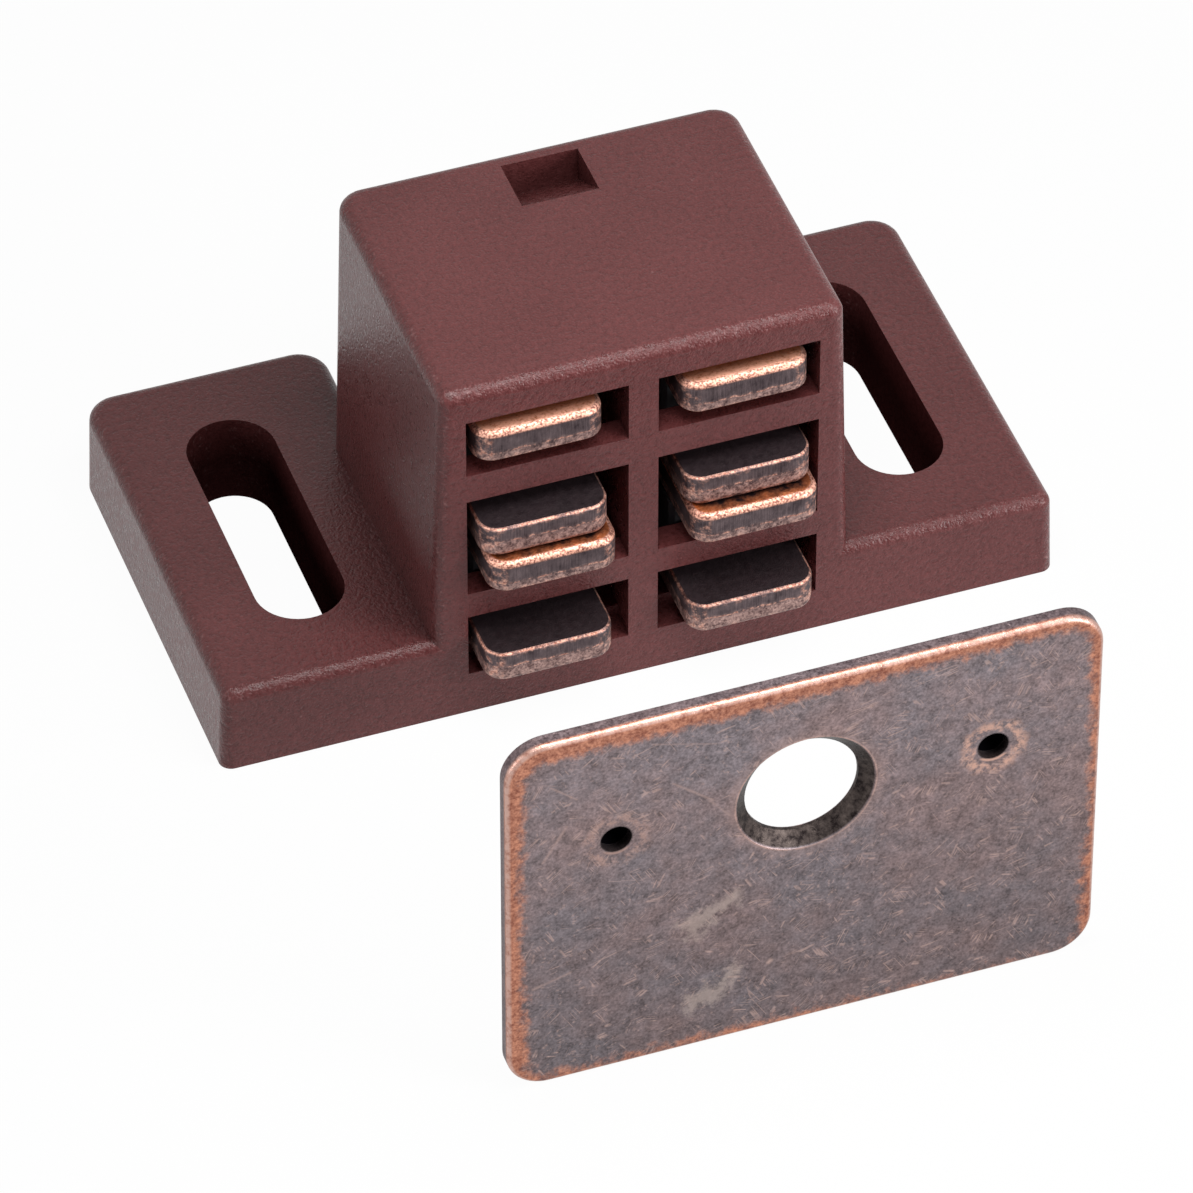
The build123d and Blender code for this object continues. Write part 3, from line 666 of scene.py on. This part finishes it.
class CatchFinishSettings(bpy.types.PropertyGroup):
    plastic_low: hex_property("Plastic shade", "Darkest tone of the brown ABS", "#542828")
    plastic_high: hex_property("Plastic tint", "Lightest tone of the brown ABS", "#6B3939")
    plastic_scuff: hex_property("Plastic scuff", "Where handling has paled the ABS", "#97706F")
    # painted shade: how dark the plastic is made in its recesses
    recess_shade: bpy.props.FloatProperty(
        name="Recess tone", description="How dark the plastic gets deep in its recesses",
        default=0.55, min=0.0, max=1.0, subtype="FACTOR",
    )
    ferrite_low: hex_property("Ferrite shade", "Darkest tone of the magnets", "#161619")
    ferrite_high: hex_property("Ferrite tint", "Lightest tone of the magnets", "#2A2A2E")
    copper_low: hex_property("Copper shade", "Speckles in the poles' bare copper", "#B8622F")
    # painted shade: the lower units' copper as a darker, shaded copy
    copper_shaded: hex_property("Deep copper", "The lower units' half-covered copper", "#C98058")
    copper_high: hex_property("Copper tint", "The poles' bare copper", "#FFC0A4")
    edge_low: hex_property("Edge shade", "Darker tone of copper rubbed bare at an edge", "#A26653")
    edge_high: hex_property("Edge tint", "Brightest copper at an edge", "#F2BAA4")
    black_low: hex_property("Black shade", "Darkest tone of the blackened flats", "#181114")
    black_high: hex_property("Black tint", "Lightest tone of the blackened flats", "#34262A")
    sink_low: hex_property("Countersink shade", "Darker tone of the strike plate's countersink", "#221D1D")
    sink_high: hex_property("Countersink tint", "Lighter tone of the strike plate's countersink", "#5E5450")
    ring: hex_property("Spur ring", "Metal rubbed bare round the strike plate's spurs", "#D2A897")
    # the rolled front edge's pale line is partly a painted highlight
    glint_and_bare: hex_property("Glint", "The brightest lines on the strike plate's edges", "#C6A398")
    # painted shade: the black in the spur pits
    pit: hex_property("Pit", "Down in the strike plate's spur pits", "#08070A")
    cut_low: hex_property("Cut shade", "Darker tone of the poles' smooth front band", "#3B3034")
    cut_high: hex_property("Cut tint", "Lighter tone of the poles' smooth front band", "#726365")
    torn_low: hex_property("Torn shade", "Darker tone of the poles' rough front band", "#573F3F")
    torn_high: hex_property("Torn tint", "Lighter tone of the poles' rough front band", "#BF9E96")
    patina_warm: hex_property("Warm patina", "The strike plate's grey-brown", "#847272")
    patina_cool: hex_property("Cool patina", "The strike plate's bluish grey", "#7A7175")
    scratch: hex_property("Scratch", "Scratches through the patina", "#C9AAA1")
    scuff: hex_property("Scuff", "Dull grey scuffs on the strike plate", "#B4A39B")
    band_low: hex_property("Band shade", "Darker tone of the strike plate's rubbed band", "#8A5140")
    band_high: hex_property("Band tint", "Lighter tone of the strike plate's rubbed band", "#CF9074")


class CatchStageSettings(bpy.types.PropertyGroup):
    azimuth: bpy.props.FloatProperty(
        name="Azimuth", description="Camera's turn from straight on, negative from the left",
        default=math.radians(-19.508), subtype="ANGLE", unit="ROTATION",
    )
    elevation: bpy.props.FloatProperty(
        name="Elevation", description="Camera's angle above the floor",
        default=math.radians(42.943), subtype="ANGLE", unit="ROTATION",
    )
    distance: bpy.props.FloatProperty(
        name="Distance", description="From the camera to the point it looks at",
        default=0.6857, unit="LENGTH",
    )
    aim: bpy.props.FloatVectorProperty(
        name="Aim", description="The point that the camera looks at",
        default=(-0.00044, -0.00773, -0.00028), subtype="TRANSLATION", unit="LENGTH",
    )
    lens: bpy.props.FloatProperty(
        name="Lens", description="Focal length in millimetres on a 36 mm sensor", default=301.8, min=1.0,
    )
    key_power: bpy.props.FloatProperty(
        name="Key lamp", description="The low soft box in front and to the right",
        default=0.67, unit="POWER",
    )
    fill_power: bpy.props.FloatProperty(
        name="Fill lamp", description="The low soft box on the left", default=0.48, unit="POWER",
    )
    high_power: bpy.props.FloatProperty(
        name="High lamp", description="The soft box up in front, which draws the lines along the edges",
        default=0.40, unit="POWER",
    )
    overhead_power: bpy.props.FloatProperty(
        name="Overhead lamp", description="The small soft box close above the catch",
        default=0.088, unit="POWER",
    )
    ambient: bpy.props.FloatProperty(
        name="Ambient", description="The room's light from all round", default=0.03, min=0.0, max=1.0,
    )


# ---- operators ---------------------------------------------------------------------------------
def dress(node, material):
    """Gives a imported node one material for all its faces."""
    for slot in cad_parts[node].material_slots:
        slot.material = material


class CATCH_OT_housing(bpy.types.Operator):
    """Finishes the housing and its rear cover in moulded brown ABS"""
    bl_idname = "catch.housing"
    bl_label = "Finish Housing"

    def execute(self, context):
        plastic = moulded_abs(context.scene.catch_finish)
        dress("housing", plastic)
        dress("rear_cover", plastic)
        return {"FINISHED"}


class CATCH_OT_magnets(bpy.types.Operator):
    """Finishes the four ferrite magnets"""
    bl_idname = "catch.magnets"
    bl_label = "Finish Magnets"

    def execute(self, context):
        ferrite = sintered_ferrite(context.scene.catch_finish)
        for magnet in MAGNETS:
            dress(magnet, ferrite)
        return {"FINISHED"}


class CATCH_OT_poles(bpy.types.Operator):
    """Finishes the eight pole plates in antique copper"""
    bl_idname = "catch.poles"
    bl_label = "Finish Pole Plates"

    def execute(self, context):
        for pole in POLES:
            dress(pole, antique_copper_pole(context.scene.catch_finish, pole))
        return {"FINISHED"}


class CATCH_OT_strike(bpy.types.Operator):
    """Finishes the strike plate in antique copper"""
    bl_idname = "catch.strike"
    bl_label = "Finish Strike Plate"

    def execute(self, context):
        dress("strike_plate", antique_copper_strike(context.scene.catch_finish))
        return {"FINISHED"}


def soft_lamp(name, place, target, size, watts):
    """A square soft box at place that faces target."""
    lamp = bpy.data.lights.new(name, "AREA")
    lamp.shape = "SQUARE"
    lamp.size = size
    lamp.energy = watts
    holder = bpy.data.objects.new(name, lamp)
    holder.location = place
    holder.rotation_euler = (Vector(target) - Vector(place)).to_track_quat("-Z", "Y").to_euler()
    bpy.context.scene.collection.objects.link(holder)


def seen_directly(tree):
    """1 for rays from the camera, or by way of gloss or glass, else 0."""
    camera = add_node(tree, "ShaderNodeLightPath", output="Is Camera Ray")
    path = camera.node.outputs
    gloss = add_node(
        tree, "ShaderNodeMath", (path["Is Glossy Ray"], path["Is Transmission Ray"]), operation="MAXIMUM",
    )
    return add_node(tree, "ShaderNodeMath", (camera, gloss), operation="MAXIMUM")


class CATCH_OT_stage(bpy.types.Operator):
    """Builds the white floor, the soft lamps and the camera"""
    bl_idname = "catch.stage"
    bl_label = "Build Stage"

    def execute(self, context):
        scene = context.scene
        settings = scene.catch_stage
        self.build_world(scene, settings)
        self.build_floor()
        for name, (place, size) in LAMPS.items():
            soft_lamp(f"{name}_lamp", place, LAMP_TARGET, size, getattr(settings, f"{name}_power"))
        self.place_camera(scene, settings)
        return {"FINISHED"}

    def build_world(self, scene, settings):
        world = bpy.data.worlds.new("studio")
        scene.world = world
        world.use_nodes = True
        tree = world.node_tree
        tree.nodes.clear()
        strength = add_node(
            tree, "ShaderNodeMapRange", (seen_directly(tree), 0.0, 1.0, settings.ambient, 1.0),
        )
        sky = add_node(tree, "ShaderNodeBackground", {"Color": (1, 1, 1, 1), "Strength": strength})
        add_node(tree, "ShaderNodeOutputWorld", {"Surface": sky})

    def build_floor(self):
        mesh = bpy.data.meshes.new("floor")
        signs = ((-1, -1), (1, -1), (1, 1), (-1, 1))
        mesh.from_pydata([(a * FLOOR_HALF, b * FLOOR_HALF, 0) for a, b in signs], [], [(0, 1, 2, 3)])
        floor = bpy.data.objects.new("floor", mesh)
        floor.location.z = CAD_BOX[0][2] - FLOOR_GAP
        bpy.context.scene.collection.objects.link(floor)
        # white card: mostly even and white to the eye, with a little of the object's shadow left in
        material, tree = start_material("white_card")
        card = add_node(tree, "ShaderNodeBsdfDiffuse", {"Color": (CARD_WHITE, CARD_WHITE, CARD_WHITE, 1)})
        even = add_node(tree, "ShaderNodeEmission", {"Color": (1, 1, 1, 1), "Strength": 1.0})
        share = add_node(tree, "ShaderNodeMath", (seen_directly(tree), CARD_EVENNESS), operation="MULTIPLY")
        mixed = add_node(tree, "ShaderNodeMixShader", (share, card, even))
        add_node(tree, "ShaderNodeOutputMaterial", {"Surface": mixed})
        mesh.materials.append(material)

    def place_camera(self, scene, settings):
        lens = bpy.data.cameras.new("camera")
        lens.lens = settings.lens
        lens.sensor_width = 36
        lens.clip_start = 0.01
        camera = bpy.data.objects.new("camera", lens)
        turn, rise = settings.azimuth, settings.elevation
        back = Vector((
            math.sin(turn) * math.cos(rise), -math.cos(turn) * math.cos(rise), math.sin(rise),
        ))
        camera.location = Vector(settings.aim) + back * settings.distance
        camera.rotation_euler = (-back).to_track_quat("-Z", "Y").to_euler()
        scene.collection.objects.link(camera)
        scene.camera = camera


class CATCH_PT_panel(bpy.types.Panel):
    """Lists the finishes and the stage"""
    bl_idname = "CATCH_PT_panel"
    bl_label = "Magnetic Catch"
    bl_space_type = "VIEW_3D"
    bl_region_type = "UI"
    bl_category = "Catch"

    def draw(self, context):
        for group in (context.scene.catch_finish, context.scene.catch_stage):
            for name in group.__annotations__:
                self.layout.prop(group, name)
        for operator in OPERATORS:
            self.layout.operator(operator.bl_idname)


OPERATORS = (CATCH_OT_housing, CATCH_OT_magnets, CATCH_OT_poles, CATCH_OT_strike, CATCH_OT_stage)
CLASSES = (CatchFinishSettings, CatchStageSettings, *OPERATORS, CATCH_PT_panel)


def register():
    for cls in CLASSES:
        bpy.utils.register_class(cls)
    bpy.types.Scene.catch_finish = bpy.props.PointerProperty(type=CatchFinishSettings)
    bpy.types.Scene.catch_stage = bpy.props.PointerProperty(type=CatchStageSettings)


def unregister():
    del bpy.types.Scene.catch_stage
    del bpy.types.Scene.catch_finish
    for cls in reversed(CLASSES):
        bpy.utils.unregister_class(cls)


def main():
    bpy.context.scene.view_settings.view_transform = "Standard"
    register()
    bpy.ops.catch.housing()
    bpy.ops.catch.magnets()
    bpy.ops.catch.poles()
    bpy.ops.catch.strike()
    bpy.ops.catch.stage()


if __name__ == "__main__":
    main()
